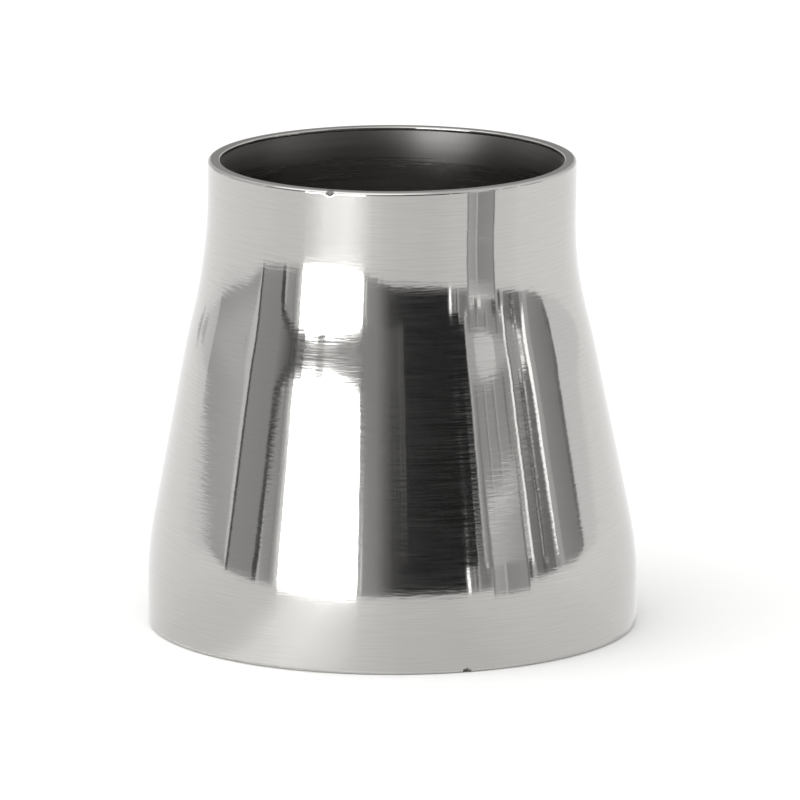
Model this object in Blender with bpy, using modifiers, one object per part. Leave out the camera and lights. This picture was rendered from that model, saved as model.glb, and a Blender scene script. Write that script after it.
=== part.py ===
"""Concentric butt-weld pipe reducer for sanitary tube, standing on its large end.

One turned wall of even thickness: a short straight tangent at each weld end, a flared neck
below the small end, a slightly bulged cone, and a rounded shoulder above the large end.
Metres, +Z up. The origin is the centre of the large end's face.
"""

from math import cos, radians, sin, tan, tau

import bpy

# Driving dimensions: a 4 inch by 3 inch tube size, in metres
LARGE_OD = 0.1016
SMALL_OD = 0.0762
WALL = 0.0025
LENGTH = 0.0975
EDGE_BREAK = 0.0003

# Outer profile: slopes are measured from the axis, radii along the wall's outer face
SMALL_TANGENT = 0.0100
NECK_RADIUS = 0.093
NECK_SLOPE = radians(13.9)
STEEP_RUN = 0.0015
BULGE_RADIUS = 0.160
CONE_SLOPE = radians(11.1)
SHOULDER_RADIUS = 0.072

# How finely the curves are cut
TURN_STEPS = 72
NECK_STEPS = 6
BULGE_STEPS = 2
SHOULDER_STEPS = 5
EDGE_STEPS = 2
SHARP_ANGLE = radians(40)

# Mirror-polished 304 stainless steel
STEEL_COLOUR = (0.60, 0.59, 0.57, 1.0)
STEEL_ROUGHNESS = 0.08


def clear_scene():
    for old in list(bpy.data.objects):
        bpy.data.objects.remove(old, do_unlink=True)


def add_arc(outline, start_slope, end_slope, radius, steps):
    """Carries the outline on down and outwards, along an arc that turns from one slope to the other."""
    first_r, first_z = outline[-1]
    for step in range(1, steps + 1):
        slope = start_slope + (end_slope - start_slope) * step / steps
        out = radius * abs(cos(start_slope) - cos(slope))
        down = radius * abs(sin(start_slope) - sin(slope))
        outline.append((first_r + out, first_z - down))


def add_line(outline, slope, out):
    """Carries the outline straight on down, at one slope, until it is this much further out."""
    first_r, first_z = outline[-1]
    outline.append((first_r + out, first_z - out / tan(slope)))


def outer_outline():
    """(r, z) down the outer side, from the small end's face to the large end's."""
    outline = [(SMALL_OD / 2, LENGTH), (SMALL_OD / 2, LENGTH - SMALL_TANGENT)]
    add_arc(outline, 0, NECK_SLOPE, NECK_RADIUS, NECK_STEPS)
    add_line(outline, NECK_SLOPE, STEEP_RUN * sin(NECK_SLOPE))
    add_arc(outline, NECK_SLOPE, CONE_SLOPE, BULGE_RADIUS, BULGE_STEPS)
    shoulder_out = SHOULDER_RADIUS * (1 - cos(CONE_SLOPE))
    add_line(outline, CONE_SLOPE, LARGE_OD / 2 - shoulder_out - outline[-1][0])
    add_arc(outline, CONE_SLOPE, 0, SHOULDER_RADIUS, SHOULDER_STEPS)
    outline.append((LARGE_OD / 2, 0))
    return outline


def steel():
    material = bpy.data.materials.new("polished_stainless_steel")
    material.use_nodes = True
    shader = material.node_tree.nodes["Principled BSDF"]
    shader.inputs["Base Color"].default_value = STEEL_COLOUR
    shader.inputs["Metallic"].default_value = 1.0
    shader.inputs["Roughness"].default_value = STEEL_ROUGHNESS
    return material


def reducer_body(collection):
    """The whole fitting: the outline turned about Z, given its wall inwards, with its four end edges broken."""
    outline = outer_outline()
    mesh = bpy.data.meshes.new("reducer_body")
    edges = [(i, i + 1) for i in range(len(outline) - 1)]
    mesh.from_pydata([(r, 0, z) for r, z in outline], edges, [])
    body = bpy.data.objects.new("reducer_body", mesh)
    collection.objects.link(body)
    mesh.materials.append(steel())

    turn = body.modifiers.new("turn", "SCREW")
    turn.angle = tau
    turn.steps = TURN_STEPS
    turn.render_steps = TURN_STEPS
    turn.use_merge_vertices = True
    turn.merge_threshold = 0.0001
    turn.use_smooth_shade = True

    wall = body.modifiers.new("wall", "SOLIDIFY")
    wall.thickness = WALL
    wall.offset = -1
    wall.use_even_offset = True

    edge = body.modifiers.new("edge_break", "BEVEL")
    edge.width = EDGE_BREAK
    edge.segments = EDGE_STEPS
    edge.limit_method = "ANGLE"
    edge.angle_limit = SHARP_ANGLE
    return body


clear_scene()
pipe_reducer = bpy.data.collections.new("pipe_reducer")
bpy.context.scene.collection.children.link(pipe_reducer)
reducer_body(pipe_reducer)
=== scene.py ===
"""Polished stainless steel pipe reducer, standing on its large end on a pale studio table."""

from math import cos, pi, radians, sin, tau

import bpy
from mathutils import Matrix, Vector


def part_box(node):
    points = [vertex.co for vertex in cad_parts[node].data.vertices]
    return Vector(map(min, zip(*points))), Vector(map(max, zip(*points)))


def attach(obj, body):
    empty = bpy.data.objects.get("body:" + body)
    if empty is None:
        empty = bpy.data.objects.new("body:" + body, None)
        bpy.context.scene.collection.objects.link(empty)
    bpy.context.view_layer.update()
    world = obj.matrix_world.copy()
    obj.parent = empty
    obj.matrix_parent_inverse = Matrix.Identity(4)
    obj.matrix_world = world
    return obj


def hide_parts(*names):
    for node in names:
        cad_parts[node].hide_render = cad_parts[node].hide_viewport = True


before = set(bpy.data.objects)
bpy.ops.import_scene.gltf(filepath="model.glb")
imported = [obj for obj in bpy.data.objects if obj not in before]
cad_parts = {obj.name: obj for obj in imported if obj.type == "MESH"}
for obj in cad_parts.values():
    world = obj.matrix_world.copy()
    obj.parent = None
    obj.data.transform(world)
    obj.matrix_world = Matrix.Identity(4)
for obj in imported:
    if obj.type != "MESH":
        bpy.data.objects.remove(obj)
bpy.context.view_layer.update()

# ---------------------------------------------------------------------------------------------
# Mirror-polished outside
# Stainless steel tube, ground with finer and finer belts while it turns and then buffed with
# wax. It mirrors the room sharply. The last grits leave fine lines round the wall, which smear
# a bright light up and down, and the buff leaves a faint waviness that tears straight edges.


def linear(hex_colour):
    """An sRGB colour written as six hex digits, as linear RGBA."""
    channels = [int(hex_colour[i : i + 2], 16) / 255 for i in (0, 2, 4)]
    return [c / 12.92 if c <= 0.04045 else ((c + 0.055) / 1.055) ** 2.4 for c in channels] + [1]


def add_node(tree, kind, settings=None, **inputs):
    """Adds a node. An input named in_0, in_1 and so on is a socket's place, any other its name."""
    node = tree.nodes.new(kind)
    for name, value in (settings or {}).items():
        setattr(node, name, value)
    for name, value in inputs.items():
        place = int(name[3:]) if name.startswith("in_") else name.replace("_", " ")
        if isinstance(value, bpy.types.NodeSocket):
            tree.links.new(value, node.inputs[place])
        else:
            node.inputs[place].default_value = value
    return node


def new_material(name):
    """An empty material, its node tree and its Principled shader."""
    material = bpy.data.materials.new(name)
    material.use_nodes = True
    tree = material.node_tree
    return material, tree, tree.nodes["Principled BSDF"]


def stretched_noise(tree, around, along, detail):
    """Noise drawn out round the Z axis: wavelengths in metres, round the wall and along it."""
    place = add_node(tree, "ShaderNodeTexCoord").outputs["Object"]
    scale = (1 / around, 1 / around, 1 / along)
    drawn = add_node(tree, "ShaderNodeMapping", Vector=place, Scale=scale).outputs[0]
    noise = add_node(tree, "ShaderNodeTexNoise", Vector=drawn, Scale=1.0, Detail=detail)
    return noise.outputs["Fac"]


def between(tree, value, low, high, to_low=0.0, to_high=1.0, eased=False):
    """Carries value from one range to another, held at both ends and, if eased, turning softly."""
    settings = {"interpolation_type": "SMOOTHSTEP" if eased else "LINEAR"}
    ranges = {"From_Min": low, "From_Max": high, "To_Min": to_low, "To_Max": to_high}
    return add_node(tree, "ShaderNodeMapRange", settings, Value=value, **ranges).outputs[0]


GRIT_LINE = 0.00016
GRIT_LENGTH = 0.010
BUFF_LINE = 0.0006
BUFF_LENGTH = 0.0035
BUFF_DEPTH = 0.000008
SWELL = 0.009
SWELL_DEPTH = 0.00002
MIRROR_FINEST = 0.045
MIRROR_COARSEST = 0.085
LEAST_LINES = 0.005
MOST_LINES = 0.07
# Tells Anisotropic that the lines run round the wall, along its tangent
ROUND_TURN = 0.25

polished, tree, shader = new_material("mirror_polished_304_stainless")
grit = stretched_noise(tree, GRIT_LENGTH, GRIT_LINE, 1.0)
tint = add_node(
    tree, "ShaderNodeMix", {"data_type": "RGBA"}, Factor=grit, A=linear("C2C1BF"), B=linear("BEBCB9")
)
swell = stretched_noise(tree, SWELL, SWELL, 1.0)
swelled = add_node(tree, "ShaderNodeBump", Height=swell, Distance=SWELL_DEPTH, Strength=1.0).outputs[0]
buffed = stretched_noise(tree, BUFF_LENGTH, BUFF_LINE, 2.0)
bump = add_node(
    tree, "ShaderNodeBump", Height=buffed, Distance=BUFF_DEPTH, Strength=1.0, Normal=swelled
)
round_wall = add_node(tree, "ShaderNodeTangent", {"direction_type": "RADIAL", "axis": "Z"})
fineness = between(tree, grit, 0.35, 0.65, MIRROR_FINEST, MIRROR_COARSEST)
tree.links.new(fineness, shader.inputs["Roughness"])
shader.inputs["Anisotropic"].default_value = 0.8

# The lines that the last grits leave: a small share of the surface, rough across them only. They
# are drawn coarser than the real ones, which are a few hundredths of a millimetre apart.
lines = add_node(tree, "ShaderNodeBsdfPrincipled", Roughness=0.38, Anisotropic=1.0)
for polish in (shader, lines):
    tree.links.new(tint.outputs["Result"], polish.inputs["Base Color"])
    tree.links.new(bump.outputs[0], polish.inputs["Normal"])
    tree.links.new(round_wall.outputs[0], polish.inputs["Tangent"])
    polish.inputs["Anisotropic Rotation"].default_value = ROUND_TURN
    polish.inputs["Metallic"].default_value = 1.0
share = between(tree, grit, 0.35, 0.70, LEAST_LINES, MOST_LINES)
both = add_node(tree, "ShaderNodeMixShader", in_0=share, in_1=shader.outputs[0], in_2=lines.outputs[0])
tree.links.new(both.outputs[0], tree.nodes["Material Output"].inputs["Surface"])

# ---------------------------------------------------------------------------------------------
# Satin bore
# The same wall's inner face. It keeps the dull skin of the drawn tube, scoured along its turns
# with a flap wheel, so it shows soft bands of light and fine lines and no clear picture. Its tint is
# darker than the outside: partly that dull skin and partly painted shade inside the hollow.

SCOUR_LINE = 0.00035
SCOUR_LENGTH = 0.030
SCOUR_DEPTH = 0.0000006
MOUTH_START = 0.089
MOUTH_END = 0.0965
DEEP_ROUGHNESS = 0.25
MOUTH_ROUGHNESS = 0.42
UNEVENNESS = 0.03

satin, tree, shader = new_material("scoured_304_stainless_bore")
scour = stretched_noise(tree, SCOUR_LENGTH, SCOUR_LINE, 3.0)
place = add_node(tree, "ShaderNodeTexCoord").outputs["Object"]
height = add_node(tree, "ShaderNodeSeparateXYZ", Vector=place).outputs["Z"]
fineness = between(tree, height, MOUTH_START, MOUTH_END, DEEP_ROUGHNESS, MOUTH_ROUGHNESS)
uneven = between(tree, scour, 0.3, 0.7, -UNEVENNESS, UNEVENNESS)
rough = add_node(tree, "ShaderNodeMath", {"operation": "ADD"}, in_0=fineness, in_1=uneven)
tree.links.new(rough.outputs[0], shader.inputs["Roughness"])
# A darker tint: the dull skin, and painted shade inside the hollow
tint = add_node(
    tree, "ShaderNodeMix", {"data_type": "RGBA"}, Factor=scour, A=linear("908E8C"), B=linear("A19F9D")
)
tree.links.new(tint.outputs["Result"], shader.inputs["Base Color"])
bump = add_node(tree, "ShaderNodeBump", Height=scour, Distance=SCOUR_DEPTH, Strength=1.0)
tree.links.new(bump.outputs[0], shader.inputs["Normal"])
round_wall = add_node(tree, "ShaderNodeTangent", {"direction_type": "RADIAL", "axis": "Z"})
tree.links.new(round_wall.outputs[0], shader.inputs["Tangent"])
shader.inputs["Metallic"].default_value = 1.0
shader.inputs["Anisotropic"].default_value = 0.45
shader.inputs["Anisotropic Rotation"].default_value = ROUND_TURN

# ---------------------------------------------------------------------------------------------
# Faced ends
# The two ring faces, cut square with a facing tool so that they butt against the tube. The
# tool leaves fine rings, and handling leaves them blotchy and duller than the outside.

FACING_PITCH = 0.00012
FACING_DEPTH = 0.000006
BLOTCH = 0.0015

faced, tree, shader = new_material("faced_304_stainless_end")
place = add_node(tree, "ShaderNodeTexCoord").outputs["Object"]
flat = add_node(tree, "ShaderNodeMapping", Vector=place, Scale=(1, 1, 0)).outputs[0]
radius = add_node(tree, "ShaderNodeVectorMath", {"operation": "LENGTH"}, in_0=flat).outputs["Value"]
turns = add_node(tree, "ShaderNodeMath", {"operation": "DIVIDE"}, in_0=radius, in_1=FACING_PITCH)
rings = add_node(
    tree, "ShaderNodeTexNoise", {"noise_dimensions": "1D"}, W=turns.outputs[0], Scale=1.0, Detail=1.0
).outputs["Fac"]
blotches = add_node(
    tree, "ShaderNodeTexNoise", Vector=place, Scale=1 / BLOTCH, Detail=4.0, Roughness=0.65
).outputs["Fac"]
tree.links.new(between(tree, blotches, 0.35, 0.65, 0.34, 0.5), shader.inputs["Roughness"])
tint = add_node(
    tree, "ShaderNodeMix", {"data_type": "RGBA"},
    Factor=blotches, A=linear("5E5C5A"), B=linear("9C9A97"),
)
tree.links.new(tint.outputs["Result"], shader.inputs["Base Color"])
bump = add_node(tree, "ShaderNodeBump", Height=rings, Distance=FACING_DEPTH, Strength=1.0)
tree.links.new(bump.outputs[0], shader.inputs["Normal"])
shader.inputs["Metallic"].default_value = 1.0

# ---------------------------------------------------------------------------------------------
# Reducer body
# One length of tube, drawn down over a mandrel from the large size to the small one, so the
# wall is even and runs in one sweep: straight end, flared neck, cone, shoulder, straight end.
# The mandrel pushed the neck about half a millimetre off the axis. Its profile is turned by a
# node tree, which also moves the neck and dents the edges where the fitting was knocked.

low_corner, high_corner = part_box("reducer_body")
LENGTH = high_corner[2] - low_corner[2]
LARGE_RADIUS = high_corner[0]
SMALL_RADIUS = 0.0381
WALL = 0.0025
SMALL_TANGENT = 0.0100
NECK_RADIUS = 0.093
NECK_SLOPE = radians(13.9)
STEEP_RUN = 0.0015
BULGE_RADIUS = 0.160
CONE_SLOPE = radians(11.1)
SHOULDER_RADIUS = 0.072
OUTER_EDGE = 0.0006
INNER_EDGE = 0.0003
TURN_STEPS = 544
# The finely stepped bands beside the two rounded outer edges
TOP_BAND = 0.0016
FOOT_BAND = 0.0014


def arc(line, start, end, radius, steps):
    """Carries (r, z, slope) on down and outwards, turning from one slope to the other."""
    first_r, first_z, _ = line[-1]
    for step in range(1, steps + 1):
        slope = start + (end - start) * step / steps
        out = radius * abs(cos(start) - cos(slope))
        down = radius * abs(sin(start) - sin(slope))
        line.append((first_r + out, first_z - down, slope))


def run(line, slope, length, steps):
    """Carries (r, z, slope) straight on down at one slope."""
    first_r, first_z, _ = line[-1]
    for step in range(1, steps + 1):
        part = length * step / steps
        line.append((first_r + part * sin(slope), first_z - part * cos(slope), slope))


def outer_line():
    """The outer face from the small end to the large end, as (r, z, slope)."""
    line = [(SMALL_RADIUS, LENGTH - OUTER_EDGE, 0)]
    run(line, 0, TOP_BAND - OUTER_EDGE, 5)
    run(line, 0, SMALL_TANGENT - TOP_BAND, 6)
    arc(line, 0, NECK_SLOPE, NECK_RADIUS, 28)
    run(line, NECK_SLOPE, STEEP_RUN, 1)
    arc(line, NECK_SLOPE, CONE_SLOPE, BULGE_RADIUS, 8)
    out = LARGE_RADIUS - SHOULDER_RADIUS * (1 - cos(CONE_SLOPE)) - line[-1][0]
    run(line, CONE_SLOPE, out / sin(CONE_SLOPE), 20)
    arc(line, CONE_SLOPE, 0, SHOULDER_RADIUS, 18)
    run(line, 0, line[-1][1] - FOOT_BAND, 5)
    run(line, 0, FOOT_BAND - OUTER_EDGE, 4)
    return line


def edge(centre_r, centre_z, radius, start, steps):
    """A quarter turn of a rounded edge, anticlockwise from the start angle, without its ends."""
    angles = [start + pi / 2 * step / steps for step in range(1, steps)]
    return [(centre_r + radius * cos(a), centre_z + radius * sin(a)) for a in angles]


def wall_section():
    """The wall's whole section, anticlockwise seen with r to the right, and each edge's finish."""
    outer = outer_line()
    inner = [(r - WALL * cos(s), z - WALL * sin(s)) for r, z, s in outer]
    inner = [p for p in inner if INNER_EDGE < p[1] < LENGTH - OUTER_EDGE][::2]
    small_inner = SMALL_RADIUS - WALL
    large_inner = LARGE_RADIUS - WALL
    o, i = OUTER_EDGE, INNER_EDGE
    up_outer = [(r, z) for r, z, _ in reversed(outer)]
    top_edge = edge(SMALL_RADIUS - o, LENGTH - o, o, 0, 8)
    top_face = [(SMALL_RADIUS - o, LENGTH), (SMALL_RADIUS - 1.5 * o, LENGTH), (small_inner + i, LENGTH)]
    top_inner = edge(small_inner + i, LENGTH - i, i, pi / 2, 5) + [(small_inner, LENGTH - i)]
    base_inner = [(large_inner, i)] + edge(large_inner + i, i, i, pi, 5)
    base_face = [(large_inner + i, 0), (LARGE_RADIUS - 1.5 * o, 0), (LARGE_RADIUS - o, 0)]
    base_edge = edge(LARGE_RADIUS - o, o, o, 1.5 * pi, 8)
    parts = (
        (up_outer, 0), (top_edge, 0), (top_face, 1), (top_inner, 0),
        (inner, 2), (base_inner, 2), (base_face, 1), (base_edge, 0),
    )
    points = [point for part, _ in parts for point in part]
    finishes = [finish for part, finish in parts for _ in part]
    return points, finishes


def section_mesh(name):
    """The section as a closed loop of edges, each point carrying its finish."""
    points, finishes = wall_section()
    mesh = bpy.data.meshes.new(name)
    loop = [(i, (i + 1) % len(points)) for i in range(len(points))]
    mesh.from_pydata([(r, 0, z) for r, z in points], loop, [])
    finish = mesh.attributes.new("finish", "INT", "POINT")
    finish.data.foreach_set("value", finishes)
    return mesh


def named_inputs(tree, items):
    """Adds the tree's inputs, then the group node that hands them on."""
    for name, kind, value in items:
        socket = tree.interface.new_socket(name=name, in_out="INPUT", socket_type=kind)
        if value is not None:
            socket.default_value = value
    return add_node(tree, "NodeGroupInput").outputs


def math_node(tree, operation, a, b=0.0):
    return add_node(tree, "ShaderNodeMath", {"operation": operation}, in_0=a, in_1=b).outputs[0]


def turning_tree():
    """Turns a section into a wall with three finishes, moves its neck and dents its edges."""
    tree = bpy.data.node_groups.new("turned_wall", "GeometryNodeTree")
    tree.interface.new_socket(name="Geometry", in_out="OUTPUT", socket_type="NodeSocketGeometry")
    given = named_inputs(
        tree,
        (
            ("Section", "NodeSocketGeometry", None),
            ("Turn Steps", "NodeSocketInt", 64),
            ("Bow", "NodeSocketVector", (0, 0, 0)),
            ("Bow Start", "NodeSocketFloat", 0.0),
            ("Bow Height", "NodeSocketFloat", 0.05),
            ("Bow End", "NodeSocketFloat", 0.1),
            ("Top Nick", "NodeSocketVector", (0, 0, 0)),
            ("Base Nick", "NodeSocketVector", (0, 0, 0)),
            ("Nick Width", "NodeSocketFloat", 0.001),
            ("Outside", "NodeSocketMaterial", None),
            ("Face", "NodeSocketMaterial", None),
            ("Bore", "NodeSocketMaterial", None),
        ),
    )
    # A grid with one column for each step of the turn and one row for each point of the section
    count = add_node(tree, "GeometryNodeAttributeDomainSize", Geometry=given["Section"]).outputs[0]
    rows = math_node(tree, "ADD", count, 1)
    columns = math_node(tree, "ADD", given["Turn Steps"], 1)
    grid = add_node(tree, "GeometryNodeMeshGrid", in_2=columns, in_3=rows).outputs["Mesh"]
    index = add_node(tree, "GeometryNodeInputIndex").outputs[0]
    column = math_node(tree, "FLOOR", math_node(tree, "DIVIDE", index, rows))
    row = math_node(tree, "MODULO", math_node(tree, "MODULO", index, rows), count)
    face_row = math_node(tree, "MODULO", index, count)

    # Each face takes the finish of its stretch of the section
    finish_read = add_node(
        tree, "GeometryNodeInputNamedAttribute", {"data_type": "INT"}, Name="finish"
    )
    finish = add_node(
        tree, "GeometryNodeSampleIndex", {"data_type": "INT", "domain": "POINT"},
        Geometry=given["Section"], Value=finish_read.outputs[0], Index=face_row,
    ).outputs[0]
    marked = add_node(
        tree, "GeometryNodeStoreNamedAttribute", {"data_type": "INT", "domain": "FACE"},
        Geometry=grid, Name="finish", Value=finish,
    ).outputs[0]

    # Each point goes to its place on the section, turned round Z
    place = add_node(tree, "GeometryNodeInputPosition").outputs[0]
    on_section = add_node(
        tree, "GeometryNodeSampleIndex", {"data_type": "FLOAT_VECTOR", "domain": "POINT"},
        Geometry=given["Section"], Value=place, Index=row,
    ).outputs[0]
    share = math_node(tree, "DIVIDE", column, given["Turn Steps"])
    angle = math_node(tree, "MULTIPLY", share, tau)
    turned = add_node(
        tree, "ShaderNodeVectorRotate", {"rotation_type": "Z_AXIS"}, Vector=on_section, Angle=angle
    ).outputs[0]
    wall = add_node(tree, "GeometryNodeSetPosition", Geometry=marked, Position=turned).outputs[0]

    # The neck stands off the axis, most at the bow's height and not at all at the ends
    height = add_node(tree, "ShaderNodeSeparateXYZ", Vector=place).outputs["Z"]
    rise = between(tree, height, given["Bow Start"], given["Bow Height"], eased=True)
    fall = between(tree, height, given["Bow End"], given["Bow Height"], eased=True)
    bow = add_node(
        tree, "ShaderNodeVectorMath", {"operation": "SCALE"},
        in_0=given["Bow"], Scale=math_node(tree, "MULTIPLY", rise, fall),
    ).outputs[0]
    wall = add_node(tree, "GeometryNodeSetPosition", Geometry=wall, Offset=bow).outputs[0]

    # A knock dents the wall towards the axis, deepest at its middle, and leaves it rough. The dent
    # takes the darker faced finish: torn metal, and painted shade in the notch as well
    for nick in ("Top Nick", "Base Nick"):
        away = add_node(
            tree, "ShaderNodeVectorMath", {"operation": "DISTANCE"}, in_0=place, in_1=given[nick]
        ).outputs["Value"]
        near = between(tree, away, given["Nick Width"], 0.0, eased=True)
        torn_and_shaded = math_node(tree, "GREATER_THAN", near, 0.05)
        wall = add_node(
            tree, "GeometryNodeStoreNamedAttribute", {"data_type": "INT", "domain": "FACE"},
            Geometry=wall, Selection=torn_and_shaded, Name="finish", Value=1,
        ).outputs[0]
        inward = math_node(tree, "MULTIPLY", given["Nick Width"], -1.0)
        depth = math_node(tree, "MULTIPLY", near, inward)
        outward = add_node(
            tree, "ShaderNodeVectorMath", {"operation": "NORMALIZE"}, in_0=given[nick]
        ).outputs[0]
        dent = add_node(
            tree, "ShaderNodeVectorMath", {"operation": "SCALE"}, in_0=outward, Scale=depth
        ).outputs[0]
        wall = add_node(tree, "GeometryNodeSetPosition", Geometry=wall, Offset=dent).outputs[0]

    wall = add_node(tree, "GeometryNodeMergeByDistance", Geometry=wall, Distance=0.000001).outputs[0]
    wall = add_node(tree, "GeometryNodeSetShadeSmooth", Geometry=wall).outputs[0]
    wall = add_node(tree, "GeometryNodeRealizeInstances", Geometry=wall).outputs[0]
    stored = add_node(
        tree, "GeometryNodeInputNamedAttribute", {"data_type": "INT"}, Name="finish"
    ).outputs[0]
    for number, slot in enumerate(("Outside", "Face", "Bore")):
        chosen = add_node(
            tree, "FunctionNodeCompare", {"data_type": "INT", "operation": "EQUAL"},
            in_2=stored, in_3=number,
        ).outputs[0]
        wall = add_node(
            tree, "GeometryNodeSetMaterial", Geometry=wall, Selection=chosen, Material=given[slot]
        ).outputs[0]
    add_node(tree, "NodeGroupOutput", Geometry=wall)
    return tree


def set_inputs(modifier, values):
    """Sets the modifier's inputs, each found by its name and set by its identifier."""
    for item in modifier.node_group.interface.items_tree:
        if item.in_out == "INPUT" and item.name in values:
            modifier[item.identifier] = values[item.name]


def as_plain_mesh(maker, name):
    """What the maker's modifiers give, as an ordinary object."""
    graph = bpy.context.evaluated_depsgraph_get()
    mesh = bpy.data.meshes.new_from_object(maker.evaluated_get(graph))
    mesh.name = name
    piece = bpy.data.objects.new(name, mesh)
    bpy.context.scene.collection.objects.link(piece)
    bpy.data.objects.remove(maker, do_unlink=True)
    return piece


def on_wall(azimuth, radius, height):
    """A point at this azimuth: 0 is -Y and it grows towards +X."""
    return Vector((radius * sin(azimuth), -radius * cos(azimuth), height))


NECK_BOW = 0.00055
BOW_AZIMUTH = radians(55)
BOW_START = 0.009
BOW_HEIGHT = 0.073
BOW_END = LENGTH - 0.004
NICK_WIDTH = 0.0009
NICK_INSET = 0.0002
TOP_NICK_AZIMUTH = radians(-19.5)
BASE_NICK_AZIMUTH = radians(17.5)

maker = bpy.data.objects.new("reducer_maker", section_mesh("wall_section"))
bpy.context.scene.collection.objects.link(maker)
turn = maker.modifiers.new("turned_wall", "NODES")
turn.node_group = turning_tree()
set_inputs(
    turn,
    {
        "Turn Steps": TURN_STEPS,
        "Bow": on_wall(BOW_AZIMUTH, -NECK_BOW, 0),
        "Bow Start": BOW_START,
        "Bow Height": BOW_HEIGHT,
        "Bow End": BOW_END,
        "Top Nick": on_wall(TOP_NICK_AZIMUTH, SMALL_RADIUS, LENGTH - NICK_INSET),
        "Base Nick": on_wall(BASE_NICK_AZIMUTH, LARGE_RADIUS, NICK_INSET),
        "Nick Width": NICK_WIDTH,
        "Outside": polished,
        "Face": faced,
        "Bore": satin,
    },
)
reducer = as_plain_mesh(maker, "reducer_polished_wall")
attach(reducer, "root")
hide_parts("reducer_body")

# ---------------------------------------------------------------------------------------------
# Table
# A sheet of matt white paper, far larger than the fitting.

TABLE_SIDE = 8.0

bpy.ops.mesh.primitive_plane_add(size=TABLE_SIDE, location=(0, 0, 0))
table = bpy.context.object
table.name = "paper_table"
paper, tree, shader = new_material("matt_white_paper")
shader.inputs["Base Color"].default_value = linear("FBFBFA")
shader.inputs["Roughness"].default_value = 0.9
shader.inputs["Specular IOR Level"].default_value = 0.1
table.data.materials.append(paper)

# ---------------------------------------------------------------------------------------------
# Reflector cards, glowing in painted light
# Light and dark cards in rings round the table, as in a product studio, where they shape what polished
# metal mirrors. They glow in painted tones that stand for the room and its light and shade as the
# metal mirrors them. Only reflections show them: they light nothing and stay out of sight.
# Azimuth 0 is the camera's side and grows towards +X. Greys are two hex digits.

CARD_STEP = 1.5
CARD_TOP = 0.7
BOARD_TOP = 1.4
NEAR_RING = 1.0
MIDDLE_RING = 2.2
FAR_RING = 2.5
CARD_GAIN = 1.13
CARD_TURN = 1.3

# The cards glow in their tones: painted light and shade, not lamps
painted_card_glow, tree, shader = new_material("painted_light_card")
tree.nodes.remove(shader)
tone = add_node(tree, "ShaderNodeAttribute", {"attribute_name": "tone"}).outputs["Color"]
glow = add_node(tree, "ShaderNodeEmission", Color=tone, Strength=CARD_GAIN)
tree.links.new(glow.outputs[0], tree.nodes["Material Output"].inputs["Surface"])


def reflector(name, points, tones, faces):
    """A sheet that only reflections show, glowing in the tone given for each point."""
    mesh = bpy.data.meshes.new(name)
    mesh.from_pydata(points, [], faces)
    layer = mesh.color_attributes.new("tone", "FLOAT_COLOR", "POINT")
    layer.data.foreach_set("color", [channel for tone in tones for channel in tone])
    mesh.materials.append(painted_card_glow)
    sheet = bpy.data.objects.new(name, mesh)
    bpy.context.scene.collection.objects.link(sheet)
    sheet.visible_camera = False
    sheet.visible_diffuse = False
    sheet.visible_transmission = False
    sheet.visible_shadow = False


def filled_in(outline):
    """The outline's (azimuth, bottom, top) stations in degrees and metres, with steps between."""
    stations = [outline[0]]
    for first, second in zip(outline, outline[1:]):
        steps = max(1, round((second[0] - first[0]) / CARD_STEP))
        for step in range(1, steps + 1):
            part = step / steps
            stations.append(tuple(a + (b - a) * part for a, b in zip(first, second)))
    return stations


def card(name, ring, left, right, *outline, power=1.0, foot=None):
    """A curved card, shading from the left grey to the right one, and up from its foot if given."""
    stations = filled_in(outline)
    first, last = stations[0][0], stations[-1][0]
    points, tones = [], []
    for azimuth, bottom, top in stations:
        part = (azimuth - first) / (last - first)
        ends = zip(linear(left * 3), linear(right * 3))
        upper = [power * (a + (b - a) * part) for a, b in ends]
        lower = linear(foot * 3) if foot else upper
        for height, shade in ((bottom, lower), (top, upper)):
            points.append(on_wall(radians(azimuth + CARD_TURN), ring, height))
            tones.append(shade[:3] + [1.0])
    faces = [(2 * i, 2 * i + 2, 2 * i + 3, 2 * i + 1) for i in range(len(stations) - 1)]
    reflector(name, points, tones, faces)


def upright(name, ring, left, right, start, end, bottom, top, power=1.0):
    """A card with a level foot and top, from the start azimuth to the end one."""
    card(name, ring, left, right, (start, bottom, top), (end, bottom, top), power=power)


# Left of the camera: a pale wall, its corner trim and a grey door with a dark edge
upright("left_post", NEAR_RING, "C4", "CC", -146, -132, 0, CARD_TOP)
upright("left_band", NEAR_RING, "E6", "DC", -132, -121, 0, CARD_TOP)
card(
    "left_sheet", NEAR_RING * 0.99, "F4", "F0",
    (-140, 0, 0.03), (-121, 0, 0.03), (-112, 0, 0.035), (-104, 0, 0.04), (-97, 0, 0.043),
    (-91, 0, 0.026), (-84, 0, 0.006),
)
# The wall is darker at its foot: painted shade where it meets the table
card("left_wall_shaded_foot", NEAR_RING, "C8", "D0", (-121, 0, 0.13), (-85.4, 0, 0.13), foot="A6")
card("left_wall", NEAR_RING, "C8", "D0", (-121, 0.13, CARD_TOP), (-85.4, 0.13, CARD_TOP))
card(
    "corner_trim", NEAR_RING * 0.99, "DC", "EA",
    (-89.5, 0.16, 0.6), (-87, 0.09, 0.55), (-85.2, 0.0, 0.5),
)
card("corner_edge", NEAR_RING * 0.985, "94", "A0", (-92.6, 0.20, 0.6), (-91.6, 0.19, 0.6))
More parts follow.
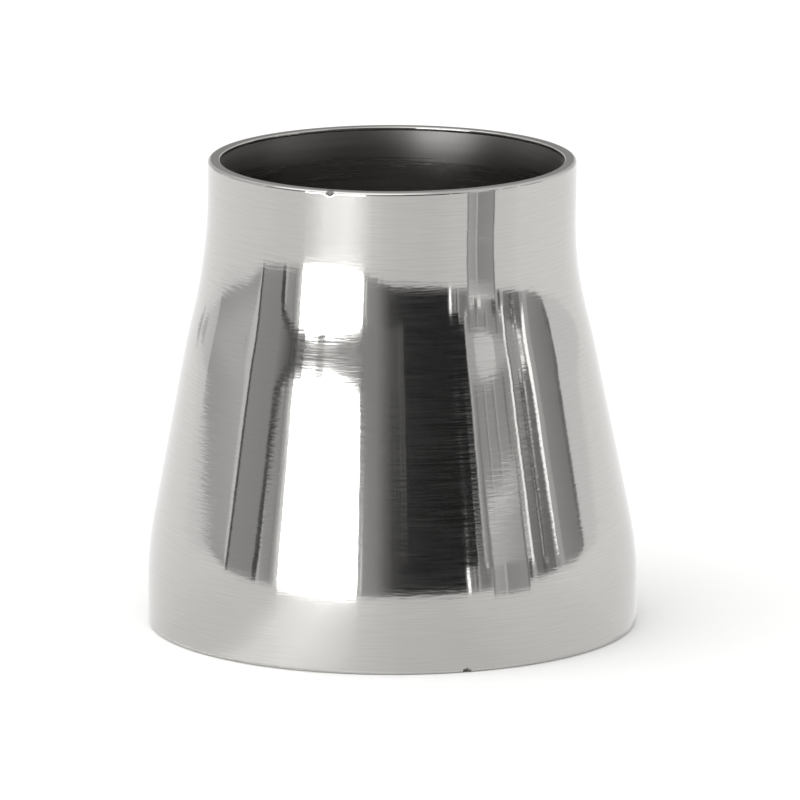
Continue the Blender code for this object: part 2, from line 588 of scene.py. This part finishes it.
# The dark gap between the wall and the door is painted shade
upright("corner_gap_shade", NEAR_RING * 0.98, "48", "60", -85.1, -83.5, 0, CARD_TOP)
upright("door", NEAR_RING, "A4", "9E", -83.5, -69.4, 0, CARD_TOP)
card(
    "door_side", NEAR_RING, "A0", "62",
    (-69.4, 0.1, CARD_TOP), (-66, 0.14, CARD_TOP), (-60.5, 0.2, CARD_TOP),
)
card(
    "door_edge", NEAR_RING * 0.98, "4A", "52",
    (-69.4, 0, 0.10), (-68, 0, 0.15), (-67.2, 0.0, 0.165), (-66.4, 0.13, 0.18),
    (-64.8, 0.152, 0.20), (-60.5, 0.198, 0.24),
)

# The bright window, the pale strips at its left and the blinds above it
for name, left, right, start, end, low_top, high_top in (
    ("strip_1", "D2", "CC", -67.2, -65.4, 0.13, 0.15),
    ("strip_2", "B4", "A2", -65.4, -59.6, 0.15, 0.20),
    ("strip_3", "AE", "D0", -59.6, -57.6, 0.20, 0.225),
    ("strip_4", "F0", "FF", -57.6, -55.4, 0.215, 0.22),
):
    card(name, NEAR_RING, left, right, (start, 0, low_top), (end, 0, high_top))
card(
    "window", NEAR_RING, "FF", "FF",
    (-55.4, 0, 0.213), (-51.6, 0, 0.218), (-51.2, 0, 0.244), (-47, 0, 0.258), (-44, 0, 0.262),
    (-43, 0, 0.246), (-40.5, 0, 0.243), (-39.2, 0, 0.248), (-38.8, 0, 0.265), (-35, 0, 0.270),
    (-28, 0, 0.260), (-24, 0, 0.252), (-21, 0.010, 0.244), (-18.6, 0.016, 0.23),
    (-17.6, 0.02, 0.22), power=11.0,
)
card("window_fade", NEAR_RING, "FF", "AA", (-17.6, 0.02, 0.22), (-14.4, 0.02, 0.19), power=1.6)
for name, left, right, *outline in (
    ("blind_left", "58", "56", (-60.5, 0.18, CARD_TOP), (-52, 0.2, CARD_TOP)),
    ("blind_middle", "6C", "94", (-52, 0.2, CARD_TOP), (-42, 0.2, CARD_TOP), (-38, 0.2, CARD_TOP)),
    ("blind_right", "9C", "98", (-38, 0.2, CARD_TOP), (-15.4, 0.2, CARD_TOP)),
):
    card(name, NEAR_RING * 1.01, left, right, *outline)

# In front: a grey cloth that shades into a black one, its foot coming nearer on the left
for name, ring, left, right, start, end in (
    ("cloth_1", NEAR_RING, "C8", "A6", -17.5, -14.0),
    ("cloth_2", NEAR_RING * 1.2, "A6", "96", -14.2, -9.0),
    ("cloth_3", NEAR_RING * 1.5, "96", "74", -9.2, -5.0),
    ("cloth_4", NEAR_RING * 1.8, "74", "4C", -5.2, -1.0),
    ("cloth_5", MIDDLE_RING, "4A", "36", -1.2, 4.0),
    ("cloth_6", MIDDLE_RING, "34", "26", 4.0, 14.0),
    ("cloth_7", MIDDLE_RING, "26", "1C", 14.0, 33.5),
):
    upright(name, ring, left, right, start, end, 0.0, 0.44 * ring / MIDDLE_RING + 0.02)
for name, left, right, start, end in (
    ("cloth_top_1", "9C", "96", -15.6, -9.0),
    ("cloth_top_2", "96", "62", -9.0, -1.0),
    ("cloth_top_3", "62", "56", -1.0, 3.0),
    ("cloth_top_4", "62", "58", 3.0, 6.5),
    ("cloth_top_5", "2E", "22", 6.5, 16.0),
    ("cloth_top_6", "22", "1A", 16.0, 43.2),
):
    upright(name, MIDDLE_RING, left, right, start, end, 0.42, 1.3)
upright("cloth_behind", FAR_RING * 1.06, "1E", "1A", 30.0, 44.0, 0.0, BOARD_TOP)
upright("board_behind", FAR_RING * 1.06, "8C", "94", 44.0, 88.0, 0.0, 0.6)
upright("cloth_corner", MIDDLE_RING, "1C", "1C", 33.5, 40.0, 0.30, 0.42)

# Right of the camera: a row of stands and boxes, with painted glints on them
# Stands 2, 10, 12 and 18, white and brighter than white, are painted glints, not the stands' own tone
for name, left, right, start, end, bottom, top, power in (
    ("stand_1", "70", "80", 33.2, 34.4, 0.0, 0.40, 1.0),
    ("stand_2", "FF", "FF", 34.4, 35.7, 0.0, 0.34, 2.0),
    ("stand_3", "9C", "88", 35.7, 37.6, 0.0, 0.36, 1.0),
    ("stand_4", "B6", "B0", 37.6, 38.4, 0.0, 0.40, 1.0),
    ("stand_5", "7C", "78", 38.4, 39.6, 0.0, 0.44, 1.0),
    ("stand_6", "C4", "BC", 39.6, 40.6, 0.0, 0.42, 1.0),
    ("stand_7", "92", "8A", 40.6, 43.4, 0.0, 0.42, 1.0),
    ("stand_8", "84", "98", 43.4, 46.0, 0.0, 0.33, 1.0),
    ("stand_9", "AC", "B2", 46.0, 49.4, 0.0, 0.30, 1.0),
    ("stand_glint_10", "F0", "F0", 49.4, 50.2, 0.0, 0.22, 1.2),
    ("stand_11", "88", "80", 50.2, 52.3, 0.0, 0.27, 1.0),
    ("stand_glint_12", "F6", "FF", 52.3, 54.6, 0.0, 0.24, 1.2),
    ("stand_13", "BE", "B4", 54.6, 57.5, 0.0, 0.30, 1.0),
    ("stand_14", "AE", "9A", 57.5, 61.5, 0.0, 0.30, 1.0),
    ("stand_15", "68", "62", 61.5, 64.8, 0.0, 0.31, 1.0),
    ("stand_16", "C8", "BC", 64.8, 66.4, 0.0, 0.26, 1.0),
    ("stand_17", "5C", "66", 66.4, 68.2, 0.0, 0.26, 1.0),
    ("stand_glint_18", "F0", "FF", 68.3, 69.6, 0.20, 0.56, 1.6),
    ("stand_19", "C0", "C0", 68.2, 70.4, 0.0, 0.20, 1.0),
    ("stand_20", "80", "84", 69.6, 70.9, 0.20, 0.7, 1.0),
    ("stand_21", "B4", "B2", 70.4, 74.4, 0.33, 0.7, 1.0),
    ("stand_27", "88", "80", 70.4, 74.4, 0.0, 0.33, 1.0),
    ("stand_22", "68", "64", 74.4, 76.6, 0.0, 0.40, 1.0),
    ("stand_23", "80", "7A", 76.6, 82.4, 0.0, 0.40, 1.0),
    ("stand_24", "B8", "C8", 74.4, 82.4, 0.40, 0.8, 1.0),
    ("stand_25", "B0", "A8", 82.4, 85.0, 0.0, 0.8, 1.0),
    ("stand_26", "C4", "BC", 85.0, 88.0, 0.0, 0.8, 1.0),
):
    upright(name, FAR_RING, left, right, start, end, bottom, top, power)
for name, tone, start, end, bottom, top, power in (
    ("glint_1", "FF", 47.2, 49.0, 0.18, 0.22, 1.5),
    ("glint_2", "FF", 44.0, 45.2, 0.29, 0.33, 1.0),
    ("glint_3", "FF", 66.3, 68.0, 0.26, 0.31, 1.0),
    ("glint_4", "FF", 78.0, 80.6, 0.40, 0.47, 1.6),
    ("glint_5", "FF", 75.0, 76.4, 0.36, 0.39, 1.4),
    ("glint_6", "FF", 77.0, 78.4, 0.30, 0.33, 1.2),
    ("glint_7", "E8", 75.0, 75.9, 0.23, 0.27, 1.0),
    ("glint_8", "D8", 75.6, 78.2, 0.14, 0.165, 1.0),
):
    upright(name, FAR_RING * 0.98, tone, tone, start, end, bottom, top, power)
# The slanting rod is a painted glint along a rod, brighter than white
card(
    "slanting_rod_glint", FAR_RING * 0.99, "FF", "FF",
    (82.3, 0.30, 0.7), (83.4, 0.22, 0.7), (84.6, 0.16, 0.5), power=1.8,
)
upright("bright_foot", FAR_RING * 0.98, "FF", "FF", 48.5, 60.5, 0.0, 0.05, power=1.2)

# Above the stands: a pale board with a creased foot and a lighter patch; the creases are painted shade
# and light
upright("pale_board_edge", FAR_RING, "C8", "D0", 43.4, 44.6, 0.34, BOARD_TOP)
card(
    "pale_board", FAR_RING, "C4", "CC",
    (44.6, 0.52, BOARD_TOP), (56, 0.50, BOARD_TOP), (61, 0.50, BOARD_TOP), (68.3, 0.52, BOARD_TOP),
)
card("board_foot", FAR_RING * 1.005, "A6", "A8", (44.6, 0.28, 0.6), (60, 0.27, 0.6), (68.3, 0.27, 0.6))
# Dark strips are painted shade in the creases, the pale ones beside them painted light on their lit
# sides
for name, tone, start, end in (
    ("crease_shade_1", "8A", 46.0, 46.8),
    ("crease_shade_2", "94", 50.6, 51.6),
    ("crease_lit_side_3", "C4", 51.6, 52.2),
    ("crease_shade_4", "98", 56.0, 57.4),
    ("crease_lit_side_5", "C0", 57.4, 58.2),
    ("crease_shade_6", "8C", 63.4, 64.6),
):
    upright(name, FAR_RING * 0.995, tone, tone, start, end, 0.28, 0.48)
card(
    "board_patch", FAR_RING * 0.99, "E8", "F0",
    (48.6, 0.60, 0.66), (50.4, 0.52, 0.80), (54, 0.49, 0.9), (58, 0.49, 0.9), (60.6, 0.53, 0.8),
    (61.4, 0.60, 0.66),
)

# Far right: a grey screen with a darker edge, before a white backdrop
card(
    "grey_screen", FAR_RING, "A4", "84",
    (88, 0.0, 0.8), (95, 0.0, 0.8), (100, 0.03, 0.7), (103, 0.10, 0.6), (105.5, 0.2, 0.5),
)
card(
    "screen_edge", FAR_RING * 0.99, "70", "74",
    (101.0, 0.05, 0.14), (103.4, 0.1, 0.24), (105.8, 0.2, 0.34),
)
upright("right_backdrop", FAR_RING * 1.02, "EA", "E4", 100, 150, -0.1, BOARD_TOP)

# A low pale box on the right, close to the fitting, lit along its top. Its sides are painted light and
# shade: one side lit, the other shaded, a painted highlight on the corner, painted shade at both ends
BOX_RING = 0.35
BOX_SIDE = 0.055
BOX_SLOPE = 0.075
BOX_LID = 0.081
BOX_SHADE = 0.070
# Painted light and shade: lit side, corner highlight, shaded side, shade strips, lit slope and lid
for name, left, right, start, end, bottom, top, power in (
    ("box_shade", "98", "90", 44.0, 44.8, 0.0, BOX_SHADE, 1.0),
    ("box_lit_side", "C2", "B4", 44.8, 49.8, 0.0, BOX_SIDE, 1.0),
    ("box_corner_highlight", "D2", "D2", 49.8, 50.8, 0.0, BOX_SIDE, 1.0),
    ("box_shaded_side", "A0", "AC", 50.8, 61.4, 0.0, BOX_SIDE, 1.0),
    ("box_gap_shade", "84", "7C", 61.4, 62.2, 0.0, BOX_SHADE, 1.0),
    ("box_slope", "D2", "B8", 44.8, 61.4, BOX_SIDE, BOX_SLOPE, 1.0),
    ("box_lid", "F4", "E4", 44.6, 61.8, BOX_SLOPE, BOX_LID, 1.1),
):
    upright(name, BOX_RING, left, right, start, end, bottom, top, power)

# Behind: a grey sheet that keeps the faced ring from glaring
card("back_sheet_foot", 1.2, "C4", "C4", (146, 0, 0.35), (214, 0, 0.35), foot="F8")
upright("back_sheet", 1.2, "C4", "C4", 146, 214, 0.35, 1.6)

# A glowing sheet for the paper round the fitting, in painted light and shade: a painted reflection of
# the window in the paper towards it, and painted shade in front of the cloth. Each station is an
# azimuth, the brightness beside the fitting and the brightness from AWAY_PLACE out.
PAPER_HEIGHT = 0.0004
PAPER_RADII = (0.052, 0.08, 0.13, 0.3, 0.8, 3.9)
AWAY_PLACE = 3
WARMTH = 0.995
PAPER_STATIONS = (
    (-180, 0.92, 0.95), (-130, 0.92, 0.96), (-100, 0.88, 0.92), (-72, 0.82, 0.86),
    (-60, 0.82, 0.86), (-54, 0.83, 0.88), (-49, 0.88, 1.00), (-43, 1.04, 1.22),
    (-30, 1.14, 1.38), (-23, 1.06, 1.22), (-18, 0.98, 1.08), (-13, 0.86, 0.92),
    (-6, 0.79, 0.84), (2, 0.74, 0.80), (20, 0.72, 0.78), (34, 0.76, 0.82),
    (46, 0.80, 0.84), (66, 0.82, 0.86), (84, 0.84, 0.94), (100, 0.82, 0.95),
    (130, 0.80, 0.92), (180, 0.92, 0.95),
)

points, tones = [], []
for azimuth, close, away in PAPER_STATIONS:
    for place, radius in enumerate(PAPER_RADII):
        shade = close + (away - close) * min(1, place / AWAY_PLACE)
        points.append(on_wall(radians(azimuth + CARD_TURN), radius, PAPER_HEIGHT))
        tones.append((shade, shade, shade * WARMTH, 1.0))
across = len(PAPER_RADII)
corners = [
    i * across + j for i in range(len(PAPER_STATIONS) - 1) for j in range(across - 1)
]
faces = [(c, c + 1, c + across + 1, c + across) for c in corners]
reflector("paper_light", points, tones, faces)

# ---------------------------------------------------------------------------------------------
# Light
# An even white surround and one broad soft light high on the left, which gives the fitting its
# soft shadow on the right.

HORIZON = 1.15
ZENITH = 0.80
HORIZON_EDGE = 0.25
ZENITH_EDGE = 0.85

world = bpy.data.worlds.new("pale_surround")
world.use_nodes = True
tree = world.node_tree
upward = add_node(
    tree, "ShaderNodeSeparateXYZ", Vector=add_node(tree, "ShaderNodeTexCoord").outputs["Generated"]
).outputs["Z"]
glow = between(tree, upward, HORIZON_EDGE, ZENITH_EDGE, HORIZON, ZENITH)
tree.nodes["Background"].inputs["Color"].default_value = linear("FFFFFF")
tree.links.new(glow, tree.nodes["Background"].inputs["Strength"])
bpy.context.scene.world = world


def aimed(item, target):
    """Turns a light or camera to face the target."""
    item.rotation_euler = (Vector(target) - item.location).to_track_quat("-Z", "Y").to_euler()


SOFTBOX_WIDTH = 3.0
SOFTBOX_DEPTH = 2.4
SOFTBOX_POWER = 24.0
SOFTBOX_PLACE = (-0.8, -0.6, 2.3)
SOFTBOX_TARGET = (0, 0, 0.05)

softbox = bpy.data.lights.new("softbox", "AREA")
softbox.shape = "RECTANGLE"
softbox.size = SOFTBOX_WIDTH
softbox.size_y = SOFTBOX_DEPTH
softbox.energy = SOFTBOX_POWER
softbox_stand = bpy.data.objects.new("softbox", softbox)
softbox_stand.location = SOFTBOX_PLACE
bpy.context.scene.collection.objects.link(softbox_stand)
aimed(softbox_stand, SOFTBOX_TARGET)

# ---------------------------------------------------------------------------------------------
# Camera
# A long lens, a little above the small end, so that the upright walls stay upright.

CAMERA_DISTANCE = 2.235
CAMERA_ELEVATION = radians(12.04)
LENS = 485.0
SENSOR = 36.0
LOOK_AT = Vector((0.0016, 0.0, 0.0465))

camera = bpy.data.cameras.new("camera")
camera.lens = LENS
camera.sensor_width = SENSOR
camera.clip_end = 50.0
camera_stand = bpy.data.objects.new("camera", camera)
camera_stand.location = LOOK_AT + CAMERA_DISTANCE * Vector(
    (0, -cos(CAMERA_ELEVATION), sin(CAMERA_ELEVATION))
)
bpy.context.scene.collection.objects.link(camera_stand)
aimed(camera_stand, LOOK_AT)
bpy.context.scene.camera = camera_stand
bpy.context.scene.view_settings.view_transform = "Standard"
